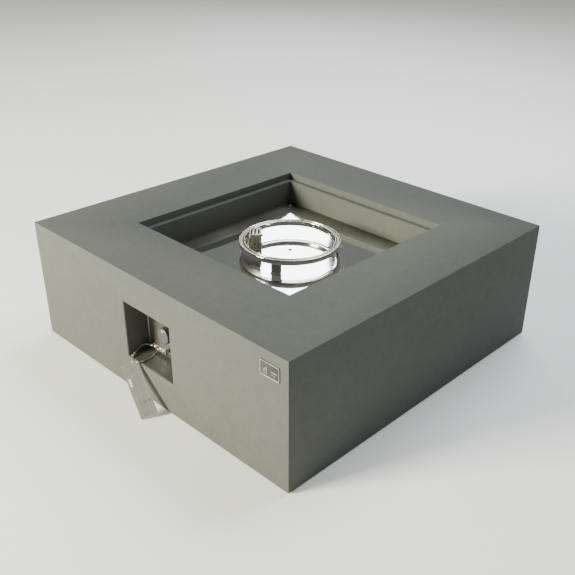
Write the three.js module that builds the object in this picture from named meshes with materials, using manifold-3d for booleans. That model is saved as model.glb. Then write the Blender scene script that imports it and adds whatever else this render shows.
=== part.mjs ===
// Square concrete fire table: gas ring burner in a sunk well, controls in a front niche.
// Millimetres, +Z up, front face towards -Y, origin on the floor under the middle.
import * as THREE from "three";
import { mergeVertices } from "three/addons/utils/BufferGeometryUtils.js";
import Module from "manifold-3d";

const wasm = await Module();
wasm.setup();

// Clearances
const GAP = 0.3;
const RUN = 0.4;

// Concrete body
const FOOT_H = 3;
const FOOT_R = 12;
const FOOT_IN_X = 70;
const FOOT_IN_Y = 18;
const STUD_R = 4;
const STUD_H = 14;
const BODY_W = 914;
const BODY_D = 914;
const BODY_H = 320;
const WALL = 18;
const SLAB = 26;
const EDGE = 2.5;
const BLOCK = 90;
const BLOCK_H = 40;
const OPENING = 545;
const LIP_DEPTH = 18.5;
const WELL = 514;
const WELL_DEPTH = 85;
const TUB_WALL = 18;
const TOP = FOOT_H + BODY_H;
const FRONT = -BODY_D / 2;

// Pan and the rails that carry it
const PAN_T = 2;
const PAN_TOP = TOP - WELL_DEPTH;
const PAN_HALF = WELL / 2 - 0.5;
const RAIL_LEG = 40;
const RAIL_T = 2.5;
const RAIL_TOP = PAN_TOP - PAN_T - GAP;
const TUB_BOTTOM = RAIL_TOP - RAIL_LEG;
const SCREW_IN = 22;

// Polished base plate, dished towards its middle
const PLATE_W = 356;
const PLATE_T = 1.5;
const PLATE_LIFT = 9;
const PLATE_DISH = 0.00012;
const PLATE_CELLS = 12;
const DRAIN_R = 4;

// Ring burner
const RING_R = 124;
const RING_W = 15;
const RING_H = 11.4;
const RING_LIFT = 20;
const RING_SHEET = 1.4;
const RING_STEPS = 64;
const PORTS = 40;
const PORT_W = 3;
const LEG_ANGLES = [-60, 60, 180];
const LEG_W = 26;
const LEG_T = 1.5;
const LEG_TOE = 9;
const SHIELD_FROM = -125;
const SHIELD_TO = -80;
const SHIELD_T = 1.2;
const RISER_ANGLE = 203;
const RISER_R = 6.5;
const RISER_BORE = 5.2;

// Pilot cage and what stands in it
const CAGE_X = -83;
const CAGE_Y = -42;
const CAGE_TURN = 45;
const CAGE_W = 31;
const CAGE_D = 46;
const CAGE_H = 40;
const CAGE_CUT = 8;
const CAGE_SHEET = 1.2;
const CAGE_HOLE = 5;
const CAGE_PITCH = 8.5;
const PILOT_R = 5;
const ELECTRODE_R = 2.2;
const SENSOR_R = 2.4;
const SERVICE_HOLE_R = 12;

// Niche in the front wall
const NICHE_W = 174;
const NICHE_H = 151;
const NICHE_UP = 87.5;
const NICHE_DEEP = 65;
const NICHE_SHEET = 1.5;
const NICHE_FLANGE = 15;
const NICHE_TURN_IN = 10;
const PANEL_T = 1.5;
const NICHE_Z0 = FOOT_H + NICHE_UP;
const NICHE_Z1 = NICHE_Z0 + NICHE_H;
const PANEL_FRONT = FRONT + NICHE_DEEP;
const PANEL_BACK = PANEL_FRONT + PANEL_T;

// Valve, knob and stem
const KNOB_X = 4;
const KNOB_Z = 166;
const KNOB_R = 21;
const KNOB_TALL = 22;
const KNOB_PRESS = 3;
const BEZEL_R = 25;
const BEZEL_T = 1;
const STEM_R = 4;
const COLLAR_R = 7;
const COLLAR_T = 2.5;
const VALVE_W = 46;
const VALVE_H = 30;
const VALVE_D = 40;
const NECK_R = 8;
const NECK_L = 6;
const PORT_R = 7;
const PORT_L = 10;
const NUT_R = 10;
const NUT_L = 14;

// Push igniter
const IGNITER_X = 22;
const IGNITER_Z = 120;
const BUTTON_R = 8.8;
const BUTTON_OUT = 24;
const BUTTON_PRESS = 5;
const PLUNGER_R = 4;
const IGNITER_R = 12;
const IGNITER_L = 48;

// Anchor bar, lanyard and rating plate
const BAR_X0 = -58;
const BAR_X1 = -8;
const BAR_Z = 110;
const BAR_H = 15;
const BAR_OUT = 13;
const BALL_R = 4.5;
const BALL_Y = -400;
const BALL_Z = 103.5;
const WIRE_R = 0.75;
const SLEEVE_R = 2.2;
const SLEEVE_L = 13;
const TAG_W = 41;
const TAG_L = 136;
const TAG_T = 1;
const TAG_HOLE_R = 2.6;
const TAG_HOLE_IN = 6;
const TAG_CORNER = new THREE.Vector3(-46, -459.5, 97);
const TAG_ACROSS = new THREE.Vector3(17, 36, 9);
const TAG_DOWN = new THREE.Vector3(104, -25, -88);

// Badge
const BADGE_W = 55;
const BADGE_H = 35;
const BADGE_T = 1.6;
const BADGE_X = 406.5;
const BADGE_UP = 277.5;

const root = new THREE.Group();

const finish = (color, roughness, metalness) =>
  new THREE.MeshStandardMaterial({ color, roughness, metalness });
const concrete = finish(0x8f948d, 0.9, 0);
const blackRubber = finish(0x1a1a1a, 0.8, 0);
const darkSteel = finish(0x6a6a66, 0.55, 0.6);
const brushedSteel = finish(0x8e8b84, 0.4, 1);
const mirrorSteel = finish(0xd6dade, 0.08, 1);
const galvanised = finish(0xa4a6a4, 0.5, 0.8);
const blackPlastic = finish(0x26272b, 0.4, 0);
const brass = finish(0xb08d4c, 0.35, 1);
const castAlloy = finish(0x9a9c9c, 0.5, 0.9);
const ceramicWhite = finish(0xe8e4da, 0.3, 0);
const labelMetal = finish(0xb9bab6, 0.45, 0.7);
const redWire = finish(0x9c2f26, 0.6, 0);

// A closed three.js geometry as a manifold-3d solid.
function solid(geometry) {
  const bare = geometry.clone();
  bare.deleteAttribute("normal");
  bare.deleteAttribute("uv");
  const merged = mergeVertices(bare, 1e-4);
  return new wasm.Manifold(
    new wasm.Mesh({
      numProp: 3,
      vertProperties: Float32Array.from(merged.attributes.position.array),
      triVerts: Uint32Array.from(merged.index.array),
    }),
  );
}

// A manifold-3d solid as a flat-shaded three.js geometry.
function geometryOf(shape) {
  const made = shape.getMesh();
  const geometry = new THREE.BufferGeometry();
  geometry.setAttribute("position", new THREE.BufferAttribute(made.vertProperties, 3));
  geometry.setIndex(new THREE.BufferAttribute(made.triVerts, 1));
  const flat = geometry.toNonIndexed();
  flat.computeVertexNormals();
  return flat;
}

function addMesh(name, shape, material, parent = root) {
  const mesh = new THREE.Mesh(geometryOf(shape), material);
  mesh.name = name;
  parent.add(mesh);
  return mesh;
}

// A box between two corners.
function block(x0, x1, y0, y1, z0, z1) {
  const geometry = new THREE.BoxGeometry(x1 - x0, y1 - y0, z1 - z0);
  geometry.translate((x0 + x1) / 2, (y0 + y1) / 2, (z0 + z1) / 2);
  return solid(geometry);
}

// A cylinder along Z, from z0 to z1.
function post(r, x, y, z0, z1, sides = 24) {
  const geometry = new THREE.CylinderGeometry(r, r, z1 - z0, sides);
  geometry.rotateX(Math.PI / 2);
  geometry.translate(x, y, (z0 + z1) / 2);
  return solid(geometry);
}

// A cylinder along Y, from y0 to y1.
function plug(r, x, z, y0, y1, sides = 32) {
  const geometry = new THREE.CylinderGeometry(r, r, y1 - y0, sides);
  geometry.translate(x, (y0 + y1) / 2, z);
  return solid(geometry);
}

// A cylinder along X, from x0 to x1.
function rod(r, y, z, x0, x1, sides = 24) {
  const geometry = new THREE.CylinderGeometry(r, r, x1 - x0, sides);
  geometry.rotateZ(Math.PI / 2);
  geometry.translate((x0 + x1) / 2, y, z);
  return solid(geometry);
}

// A round tube along hand-chosen points.
function tube(points, r, sides, steps) {
  const outline = new THREE.Shape();
  for (let i = 0; i < sides; i++) {
    const a = (2 * Math.PI * i) / sides;
    if (i === 0) outline.moveTo(r, 0);
    else outline.lineTo(r * Math.cos(a), r * Math.sin(a));
  }
  const vectors = points.map((p) => new THREE.Vector3(...p));
  const path = new THREE.CatmullRomCurve3(vectors, false, "centripetal");
  const options = { steps, extrudePath: path, bevelEnabled: false };
  return solid(new THREE.ExtrudeGeometry(outline, options));
}

// A ring of a closed profile of [radius, z] points, turned about Z.
function lathe(profile, steps) {
  const closed = [...profile, profile[0]].map(([r, z]) => new THREE.Vector2(r, z));
  const geometry = new THREE.LatheGeometry(closed, steps);
  geometry.rotateX(Math.PI / 2);
  return solid(geometry);
}

// Concrete body: a thin shell with a tub for the pan.
function concreteBody() {
  const outline = new THREE.Shape();
  const hx = BODY_W / 2 - EDGE;
  const hy = BODY_D / 2 - EDGE;
  outline.moveTo(-hx, -hy);
  outline.lineTo(hx, -hy);
  outline.lineTo(hx, hy);
  outline.lineTo(-hx, hy);
  const geometry = new THREE.ExtrudeGeometry(outline, {
    depth: BODY_H - 2 * EDGE,
    bevelThickness: EDGE,
    bevelSize: EDGE,
    bevelSegments: 2,
  });
  geometry.translate(0, 0, FOOT_H + EDGE);
  const inX = BODY_W / 2 - WALL;
  const inY = BODY_D / 2 - WALL;
  const tub = WELL / 2 + TUB_WALL;
  let body = solid(geometry);
  body = body.subtract(block(-inX, inX, -inY, inY, -1, TOP - SLAB));
  body = body.add(block(-tub, tub, -tub, tub, TUB_BOTTOM, TOP - SLAB + 1));
  for (const sx of [-1, 1]) {
    for (const sy of [-1, 1]) {
      const x = [sx * (inX - BLOCK), sx * (inX + 1)].sort((a, b) => a - b);
      const y = [sy * (inY - BLOCK / 2), sy * (inY + 1)].sort((a, b) => a - b);
      body = body.add(block(...x, ...y, FOOT_H, FOOT_H + BLOCK_H));
      const cx = sx * (BODY_W / 2 - FOOT_IN_X);
      const cy = sy * (BODY_D / 2 - FOOT_IN_Y);
      body = body.subtract(post(STUD_R + GAP, cx, cy, -1, FOOT_H + STUD_H + GAP));
    }
  }
  const half = OPENING / 2;
  const well = WELL / 2;
  body = body.subtract(block(-half, half, -half, half, TOP - LIP_DEPTH, TOP + 1));
  body = body.subtract(block(-well, well, -well, well, -1, TOP));
  const nx = NICHE_W / 2;
  return body.subtract(block(-nx, nx, FRONT - 1, -inY + 1, NICHE_Z0, NICHE_Z1));
}
addMesh("concrete_body", concreteBody(), concrete);

let footNumber = 1;
for (const sx of [-1, 1]) {
  for (const sy of [-1, 1]) {
    const x = sx * (BODY_W / 2 - FOOT_IN_X);
    const y = sy * (BODY_D / 2 - FOOT_IN_Y);
    const pad = post(FOOT_R, x, y, 0, FOOT_H - GAP);
    const stud = post(STUD_R, x, y, FOOT_H - GAP - 1, FOOT_H + STUD_H);
    addMesh(`foot_${footNumber}`, pad.add(stud), blackRubber);
    footNumber += 1;
  }
}

// Four angle rails round the tub, just under the pan.
function rail(side) {
  const out = WELL / 2 - GAP;
  const along = side === "long" ? out : out - RAIL_LEG - GAP;
  const shelf = block(-along, along, out - RAIL_LEG, out, RAIL_TOP - RAIL_T, RAIL_TOP);
  const web = block(-along, along, out - RAIL_T, out, RAIL_TOP - RAIL_LEG, RAIL_TOP);
  let angle = shelf.add(web);
  if (side === "long") {
    for (const sx of [-1, 1]) {
      const at = WELL / 2 - SCREW_IN;
      angle = angle.subtract(post(2.3, sx * at, at, RAIL_TOP - 9, RAIL_TOP + 1, 16));
    }
  }
  return angle;
}
addMesh("pan_rail_back", rail("long"), galvanised);
addMesh("pan_rail_front", rail("long"), galvanised).rotation.z = Math.PI;
addMesh("pan_rail_left", rail("short"), galvanised).rotation.z = Math.PI / 2;
addMesh("pan_rail_right", rail("short"), galvanised).rotation.z = -Math.PI / 2;

const turned = (angle, r) => [
  r * Math.cos((angle * Math.PI) / 180),
  r * Math.sin((angle * Math.PI) / 180),
];
const [riserX, riserY] = turned(RISER_ANGLE, RING_R);
const screwAt = WELL / 2 - SCREW_IN;

function burnerPan() {
  let pan = block(-PAN_HALF, PAN_HALF, -PAN_HALF, PAN_HALF, PAN_TOP - PAN_T, PAN_TOP);
  for (const sx of [-1, 1]) {
    for (const sy of [-1, 1]) {
      const hole = post(2.8, sx * screwAt, sy * screwAt, PAN_TOP - 5, PAN_TOP + 5, 16);
      pan = pan.subtract(hole);
    }
  }
  pan = pan.subtract(post(RISER_R + 1, riserX, riserY, PAN_TOP - 5, PAN_TOP + 5));
  pan = pan.subtract(post(SERVICE_HOLE_R, CAGE_X, CAGE_Y, PAN_TOP - 5, PAN_TOP + 5));
  return pan.subtract(post(DRAIN_R, 0, 0, PAN_TOP - 5, PAN_TOP + 5));
}
addMesh("burner_pan", burnerPan(), brushedSteel);

let screwNumber = 1;
for (const sx of [-1, 1]) {
  for (const sy of [-1, 1]) {
    const x = sx * screwAt;
    const y = sy * screwAt;
    const head = post(5, x, y, PAN_TOP + GAP, PAN_TOP + 3, 20);
    const shank = post(2, x, y, RAIL_TOP - 6, PAN_TOP + 1, 16);
    addMesh(`pan_screw_${screwNumber}`, head.add(shank), brushedSteel);
    screwNumber += 1;
  }
}

// Height of the dished plate's upper face at a distance from the middle.
const plateTop = (r) => PAN_TOP + PLATE_LIFT + PLATE_DISH * r * r;

// A square slab with the dished top, its underside following the top or flat.
function dishedSlab(lowerFace) {
  const w = PLATE_W;
  const slab = new THREE.BoxGeometry(w, w, 1, PLATE_CELLS, PLATE_CELLS, 1);
  const p = slab.attributes.position;
  for (let i = 0; i < p.count; i++) {
    const top = plateTop(Math.hypot(p.getX(i), p.getY(i)));
    p.setZ(i, p.getZ(i) > 0 ? top : lowerFace(top));
  }
  return solid(slab);
}

function basePlate() {
  const inner = PLATE_W / 2 - PLATE_T;
  const low = PAN_TOP + GAP;
  const hollow = block(-inner, inner, -inner, inner, low - 1, TOP);
  const skirt = dishedSlab(() => low).subtract(hollow);
  let plate = dishedSlab((top) => top - PLATE_T).add(skirt);
  plate = plate.subtract(post(RISER_R + 1, riserX, riserY, low, TOP));
  plate = plate.subtract(post(SERVICE_HOLE_R, CAGE_X, CAGE_Y, low, TOP));
  return plate.subtract(post(DRAIN_R, 0, 0, low, TOP));
}
addMesh("base_plate", basePlate(), mirrorSteel);

// Ring burner: a hollow channel ring with two rolled rims and ports on its inner wall.
const ringLow = plateTop(RING_R) + RING_LIFT;
const ringTop = ringLow + RING_H;
const ringIn = RING_R - RING_W / 2;
const ringOut = RING_R + RING_W / 2;
function ringBurner() {
  const dip = 2.2;
  const rim = 3.2;
  const outer = [
    [ringIn, ringLow],
    [ringOut, ringLow],
    [ringOut, ringTop - 0.8],
    [ringOut - 0.8, ringTop],
    [ringOut - rim + 0.8, ringTop],
    [ringOut - rim, ringTop - dip],
    [ringIn + rim, ringTop - dip],
    [ringIn + rim - 0.8, ringTop],
    [ringIn + 0.8, ringTop],
    [ringIn, ringTop - 0.8],
  ];
  const t = RING_SHEET;
  const inner = [
    [ringIn + t, ringLow + t],
    [ringOut - t, ringLow + t],
    [ringOut - t, ringTop - dip - t],
    [ringIn + t, ringTop - dip - t],
  ];
  let ring = lathe(outer, RING_STEPS).subtract(lathe(inner, RING_STEPS));
  const z = (ringLow + ringTop - dip) / 2;
  for (let i = 0; i < PORTS; i++) {
    const port = block(ringIn - 2, ringIn + 3, -PORT_W / 2, PORT_W / 2, z - 1, z + 1);
    ring = ring.subtract(port.rotate([0, 0, (360 * (i + 0.5)) / PORTS]));
  }
  return ring.subtract(post(RISER_BORE, riserX, riserY, ringLow - 1, ringLow + 4));
}
addMesh("ring_burner", ringBurner(), brushedSteel);

// A bent tab: an upper flange under the ring, a web and a toe on the plate.
const legLow = plateTop(ringOut + LEG_TOE) + RUN;
const legHigh = ringLow - GAP;
function ringLeg() {
  const web = ringOut - LEG_T - 1;
  const corners = [
    [ringIn + 1, legHigh - LEG_T],
    [web, legHigh - LEG_T],
    [web, legLow],
    [web + LEG_TOE, legLow],
    [web + LEG_TOE, legLow + LEG_T],
    [web + LEG_T, legLow + LEG_T],
    [web + LEG_T, legHigh],
    [ringIn + 1, legHigh],
  ].map(([x, z]) => new THREE.Vector2(x, z));
  const bent = new THREE.Shape(corners);
  const geometry = new THREE.ExtrudeGeometry(bent, { depth: LEG_W, bevelEnabled: false });
  geometry.rotateX(Math.PI / 2);
  geometry.translate(0, LEG_W / 2, 0);
  return solid(geometry);
}
LEG_ANGLES.forEach((angle, i) => {
  const leg = addMesh(`ring_leg_${i + 1}`, ringLeg(), brushedSteel);
  leg.rotation.z = (angle * Math.PI) / 180;
});

function pilotShield() {
  const low = plateTop(ringOut) + RUN;
  const high = ringLow - GAP;
  const r = RING_R + 2;
  const profile = [
    [r, low],
    [r + SHIELD_T, low],
    [r + SHIELD_T, high],
    [r, high],
  ];
  const span = SHIELD_TO - SHIELD_FROM;
  const middle = (SHIELD_TO + SHIELD_FROM) / 2;
  const keep = new THREE.Shape();
  keep.moveTo(0, 0);
  keep.lineTo(...turned(middle - span / 2, 300));
  keep.lineTo(...turned(middle, 300));
  keep.lineTo(...turned(middle + span / 2, 300));
  const wedge = new THREE.ExtrudeGeometry(keep, { depth: 100, bevelEnabled: false });
  wedge.translate(0, 0, low - 20);
  return lathe(profile, RING_STEPS).intersect(solid(wedge));
}
addMesh("pilot_shield", pilotShield(), brushedSteel);

// Riser that feeds the ring, and the brass jet under it.
const jetLow = PAN_TOP - 52;
const riserLow = PAN_TOP - 34;
const riserPipe = post(RISER_R, riserX, riserY, riserLow, ringLow - GAP).subtract(
  post(RISER_BORE, riserX, riserY, riserLow - 1, ringLow + 1),
);
addMesh("burner_riser", riserPipe, brushedSteel);
const jetBody = post(NUT_R, riserX, riserY, jetLow, riserLow - GAP, 6);
addMesh("gas_jet", jetBody.subtract(post(1.5, riserX, riserY, jetLow - 1, riserLow, 12)), brass);

// Pilot cage: a folded box with cut corners, open below, drilled and slotted.
const cageFrame = new THREE.Group();
cageFrame.position.set(CAGE_X, CAGE_Y, plateTop(Math.hypot(CAGE_X, CAGE_Y) + CAGE_D / 2) + RUN);
cageFrame.rotation.z = (CAGE_TURN * Math.PI) / 180;
root.add(cageFrame);

function cageOutline(inset) {
  const hw = CAGE_W / 2 - inset;
  const hd = CAGE_D / 2 - inset;
  const cut = CAGE_CUT - inset * 0.6;
  const shape = new THREE.Shape();
  shape.moveTo(-hw + cut, -hd);
  shape.lineTo(hw, -hd);
  shape.lineTo(hw, hd);
  shape.lineTo(-hw + cut, hd);
  shape.lineTo(-hw, hd - cut);
  shape.lineTo(-hw, -hd + cut);
  return shape;
}
function pilotCage() {
  const straight = { bevelEnabled: false };
  const shell = new THREE.ExtrudeGeometry(cageOutline(0), { depth: CAGE_H, ...straight });
  const depth = CAGE_H - CAGE_SHEET + 1;
  const room = new THREE.ExtrudeGeometry(cageOutline(CAGE_SHEET), { depth, ...straight });
  room.translate(0, 0, -1);
  let cage = solid(shell).subtract(solid(room));
  const hd = CAGE_D / 2;
  for (const column of [0, 1, 2]) {
    const x = -CAGE_W / 2 + CAGE_CUT + 4 + column * 6.6;
    for (const row of [0, 1, 2, 3]) {
      const z = 6 + row * CAGE_PITCH;
      cage = cage.subtract(plug(CAGE_HOLE / 2, x, z, -hd - 1, -hd + 3, 8));
      cage = cage.subtract(plug(CAGE_HOLE / 2, x, z, hd - 3, hd + 1, 8));
    }
    cage = cage.subtract(block(x - 1.6, x + 1.6, -hd + 6, hd - 6, CAGE_H - 3, CAGE_H + 1));
  }
  for (const side of [-1, 0, 1]) {
    const y = side * 11;
    const z = CAGE_H / 2 - 6;
    cage = cage.subtract(rod(CAGE_HOLE / 2, y, z, CAGE_W / 2 - 3, CAGE_W / 2 + 1, 8));
    cage = cage.subtract(rod(CAGE_HOLE / 2, y, z + 10, -CAGE_W / 2 - 1, -CAGE_W / 2 + 3, 8));
  }
  const sensorZ = CAGE_H - 7;
  return cage.subtract(rod(SENSOR_R + RUN, 0, sensorZ, CAGE_W / 2 - 3, CAGE_W / 2 + 1, 12));
}
addMesh("pilot_cage", pilotCage(), brushedSteel, cageFrame);

const pilotNeck = post(PILOT_R, 0, -3, 3, 24, 16);
addMesh("pilot_burner", pilotNeck.add(post(PILOT_R + 2, 0, -3, 8, 12, 6)), brass, cageFrame);
const ceramic = post(ELECTRODE_R + 1, 2, 9.5, 2, 18, 12);
addMesh("spark_electrode", ceramic.add(post(0.9, 2, 9.5, 17, 28, 8)), ceramicWhite, cageFrame);
const sensorRod = rod(SENSOR_R, 0, CAGE_H - 7, -6, CAGE_W / 2 + 5, 12);
addMesh("flame_sensor", sensorRod, darkSteel, cageFrame);

// Niche box: sheet steel set in from behind, its flange behind the wall.
function nicheBox() {
  const hw = NICHE_W / 2 - GAP;
  const z0 = NICHE_Z0 + GAP;
  const z1 = NICHE_Z1 - GAP;
  const s = NICHE_SHEET;
  const back = PANEL_BACK + GAP + s;
  const wallBack = FRONT + WALL + GAP;
  let box = block(-hw, hw, FRONT + 1, back, z0, z1);
  const f = NICHE_FLANGE;
  box = box.add(block(-hw - f, hw + f, wallBack, wallBack + s, z0 - f, z1 + f));
  box = box.subtract(block(-hw + s, hw - s, FRONT, back - s, z0 + s, z1 - s));
  const turn = s + NICHE_TURN_IN;
  return box.subtract(block(-hw + turn, hw - turn, FRONT, back + 1, z0 + turn, z1 - turn));
}
const panelHalf = NICHE_W / 2 - 2 * GAP - NICHE_SHEET;
const panelLow = NICHE_Z0 + 2 * GAP + NICHE_SHEET;
const panelHigh = NICHE_Z1 - 2 * GAP - NICHE_SHEET;
const panelScrewIn = 6;
const panelScrews = [];
for (const sx of [-1, 1]) {
  for (const z of [panelLow + panelScrewIn, panelHigh - panelScrewIn]) {
    panelScrews.push([sx * (panelHalf - panelScrewIn), z]);
  }
}
let boxShape = nicheBox();
for (const [x, z] of panelScrews) {
  boxShape = boxShape.subtract(plug(1.8, x, z, PANEL_BACK - 1, PANEL_BACK + 4, 12));
}
addMesh("niche_box", boxShape, darkSteel);

const barScrewXs = [BAR_X0 + 9, BAR_X1 - 9];
function controlPanel() {
  const x = panelHalf;
  let panel = block(-x, x, PANEL_FRONT, PANEL_BACK, panelLow, panelHigh);
  const y0 = PANEL_FRONT - 1;
  const y1 = PANEL_BACK + 1;
  panel = panel.subtract(plug(NECK_R, KNOB_X, KNOB_Z, y0, y1));
  panel = panel.subtract(plug(BUTTON_R + 0.6, IGNITER_X, IGNITER_Z, y0, y1));
  for (const [sx, sz] of panelScrews) {
    panel = panel.subtract(plug(1.8, sx, sz, y0, y1, 12));
  }
  for (const bx of barScrewXs) {
    panel = panel.subtract(plug(2.3, bx, BAR_Z, y0, y1, 12));
  }
  return panel;
}
addMesh("control_panel", controlPanel(), darkSteel);

panelScrews.forEach(([x, z], i) => {
  const head = plug(3.4, x, z, PANEL_FRONT - 2.2, PANEL_FRONT - GAP, 16);
  const shank = plug(1.5, x, z, PANEL_FRONT - 1, PANEL_BACK + 6, 12);
  addMesh(`panel_screw_${i + 1}`, head.add(shank), brushedSteel);
});

// Knob, stem and the collar that the stem pushes in.
const bezelFront = PANEL_FRONT - GAP - BEZEL_T;
const knobBack = bezelFront - KNOB_PRESS - 0.7;
const bezel = plug(BEZEL_R, KNOB_X, KNOB_Z, bezelFront, PANEL_FRONT - GAP, 40);
const bezelHole = plug(NECK_R + 0.5, KNOB_X, KNOB_Z, bezelFront - 1, PANEL_FRONT + 1);
addMesh("knob_bezel", bezel.subtract(bezelHole), brushedSteel);

function controlKnob() {
  const stem = STEM_R + 0.05;
  const profile = [
    [0, 6],
    [stem, 6],
    [stem, 0],
    [KNOB_R, 0],
    [KNOB_R, 3],
    [KNOB_R - 1.5, 5],
    [KNOB_R - 2, KNOB_TALL - 2],
    [KNOB_R - 4, KNOB_TALL],
    [0, KNOB_TALL],
  ].map(([r, z]) => new THREE.Vector2(r, z));
  const turnedShape = new THREE.LatheGeometry(profile, 40);
  return solid(turnedShape);
}
const knob = addMesh("control_knob", controlKnob(), blackPlastic);
knob.rotation.x = Math.PI;
knob.position.set(KNOB_X, knobBack, KNOB_Z);

const stemFront = knobBack - 6 + 0.5;
const stemBack = PANEL_BACK + GAP + NECK_L + 12;
addMesh("valve_stem", plug(STEM_R, KNOB_X, KNOB_Z, stemFront, stemBack, 24), brushedSteel);
const collarFront = knobBack + GAP;
const collar = plug(COLLAR_R, KNOB_X, KNOB_Z, collarFront, collarFront + COLLAR_T);
const collarBore = plug(STEM_R + 0.05, KNOB_X, KNOB_Z, collarFront - 1, collarFront + 9, 24);
addMesh("stem_collar", collar.subtract(collarBore), brushedSteel);

const valveFront = PANEL_BACK + GAP + NECK_L;
const valveY = valveFront + VALVE_D / 2;
function gasValve() {
  const hw = VALVE_W / 2;
  const hh = VALVE_H / 2;
  const y0 = valveFront;
  const y1 = valveFront + VALVE_D;
  let valve = block(KNOB_X - hw, KNOB_X + hw, y0, y1, KNOB_Z - hh, KNOB_Z + hh);
  valve = valve.add(plug(NECK_R, KNOB_X, KNOB_Z, y0 - NECK_L, y0 + 1));
  valve = valve.add(rod(PORT_R, valveY, KNOB_Z, KNOB_X - hw - PORT_L, KNOB_X + hw + PORT_L));
  valve = valve.add(plug(11, KNOB_X + 6, KNOB_Z, y1 - 1, y1 + 22));
  valve = valve.add(post(5, KNOB_X - 10, valveY, KNOB_Z + hh - 1, KNOB_Z + hh + 7, 16));
  return valve.subtract(plug(STEM_R + RUN, KNOB_X, KNOB_Z, y0 - NECK_L - 1, stemBack + 5, 24));
}
addMesh("gas_valve", gasValve(), castAlloy);

const portEnd = VALVE_W / 2 + PORT_L + GAP;
const nut = (x0, x1) => rod(NUT_R, valveY, KNOB_Z, x0, x1, 6);
const inletX = KNOB_X + portEnd;
const inletNut = nut(inletX, inletX + NUT_L).add(
  rod(PORT_R, valveY, KNOB_Z, inletX + NUT_L - 1, inletX + NUT_L + 12),
);
const inletBore = rod(4, valveY, KNOB_Z, inletX + 4, inletX + NUT_L + 20, 16);
addMesh("gas_inlet_fitting", inletNut.subtract(inletBore), brass);
const outletX = KNOB_X - portEnd;
addMesh("gas_outlet_nut", nut(outletX - NUT_L, outletX), brass);

// Push igniter
const igniterBack = PANEL_BACK + GAP + IGNITER_L;
const igniterBore = BUTTON_R + 0.5;
const ringFront = PANEL_FRONT - 3.3;
const igniterRing = plug(IGNITER_R, IGNITER_X, IGNITER_Z, ringFront, PANEL_FRONT - GAP, 32);
addMesh(
  "igniter_bezel",
  igniterRing.subtract(plug(igniterBore, IGNITER_X, IGNITER_Z, ringFront - 1, PANEL_FRONT, 32)),
  blackPlastic,
);
const buttonBack = PANEL_FRONT + 1;
const plungerBack = buttonBack + 14;
let igniterBody = plug(IGNITER_R, IGNITER_X, IGNITER_Z, PANEL_BACK + GAP, igniterBack, 32);
const cupBack = buttonBack + BUTTON_PRESS + 1;
igniterBody = igniterBody.subtract(
  plug(igniterBore, IGNITER_X, IGNITER_Z, PANEL_FRONT, cupBack, 32),
);
igniterBody = igniterBody.subtract(
  plug(PLUNGER_R + RUN, IGNITER_X, IGNITER_Z, cupBack - 1, plungerBack + BUTTON_PRESS + 1, 20),
);
addMesh("igniter_body", igniterBody, blackPlastic);
const igniterNut = plug(IGNITER_R + 5, IGNITER_X, IGNITER_Z, PANEL_BACK + GAP, PANEL_BACK + 5, 6);
addMesh(
  "igniter_nut",
  igniterNut.subtract(
    plug(IGNITER_R + GAP, IGNITER_X, IGNITER_Z, PANEL_BACK, PANEL_BACK + 6, 32),
  ),
  galvanised,
);
const buttonFront = PANEL_FRONT - BUTTON_OUT;
const cap = plug(BUTTON_R, IGNITER_X, IGNITER_Z, buttonFront, buttonBack, 28);
const plunger = plug(PLUNGER_R, IGNITER_X, IGNITER_Z, buttonBack - 1, plungerBack, 20);
addMesh("igniter_button", cap.add(plunger), blackPlastic);

// Anchor bar with a ball stud at its left end, for the lanyard.
function anchorBar() {
  const y0 = PANEL_FRONT - GAP - BAR_OUT;
  const y1 = PANEL_FRONT - GAP;
  let bar = block(BAR_X0, BAR_X1, y0, y1, BAR_Z - BAR_H / 2, BAR_Z + BAR_H / 2);
  bar = bar.subtract(block(BAR_X0 + 16, BAR_X1 - 16, y0 - 1, y0 + 5, BAR_Z - 4, BAR_Z + 4));
  for (const x of barScrewXs) {
    bar = bar.subtract(plug(2.3, x, BAR_Z, y0 - 1, y1 + 1, 12));
  }
  return bar;
}
addMesh("anchor_bar", anchorBar(), brushedSteel);
barScrewXs.forEach((x, i) => {
  const face = PANEL_FRONT - GAP - BAR_OUT;
  const head = plug(4, x, BAR_Z, face - 2.6, face - GAP, 16);
  const shank = plug(1.9, x, BAR_Z, face - 1, PANEL_BACK + 5, 12);
  addMesh(`bar_screw_${i + 1}`, head.add(shank), brushedSteel);
});
const ballX = BAR_X0 - 10;
const ball = new THREE.SphereGeometry(BALL_R, 16, 10);
ball.translate(ballX, BALL_Y, BALL_Z);
const neck = rod(2, BALL_Y, BALL_Z, ballX, BAR_X0 - GAP, 12);
addMesh("lanyard_ball", solid(ball).add(neck), brushedSteel);

// Lanyard: out of the ball, through a crimp, through the plate's hole and back to the bar.
const lanyardRoute = [
  [-71, -404.8, 104.6],
  [-73, -407.4, 106.6],
  [-77, -412.5, 108.6],
  [-80.2, -421, 107],
  [-81.6, -429.5, 102.2],
  [-80.2, -437.5, 99.4],
  [-78.5, -443.2, 97.8],
  [-75.5, -449.4, 96.6],
  [-72.5, -455.6, 95.4],
  [-67, -461.6, 92],
  [-57, -466.5, 86.4],
  [-49.5, -465.8, 85.6],
  [-45.6, -464.2, 89.3],
  [-42.4, -466.9, 94],
  [-38.6, -465.2, 97.6],
  [-37, -459.5, 97.4],
  [-37.4, -452, 94.6],
  [-37.6, -444, 93.6],
  [-37.2, -432, 93.5],
  [-40, -420, 93.5],
  [-45, -410.5, 93.9],
  [-48, -402, 96.2],
  [-48.4, -399, 99.5],
  [-48.4, -398.6, 102.2],
];
addMesh("lanyard_wire", tube(lanyardRoute, WIRE_R, 8, 78), galvanised);
const sleeveFrom = new THREE.Vector3(...lanyardRoute[6]);
const sleeveTo = new THREE.Vector3(...lanyardRoute[8]);
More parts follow.
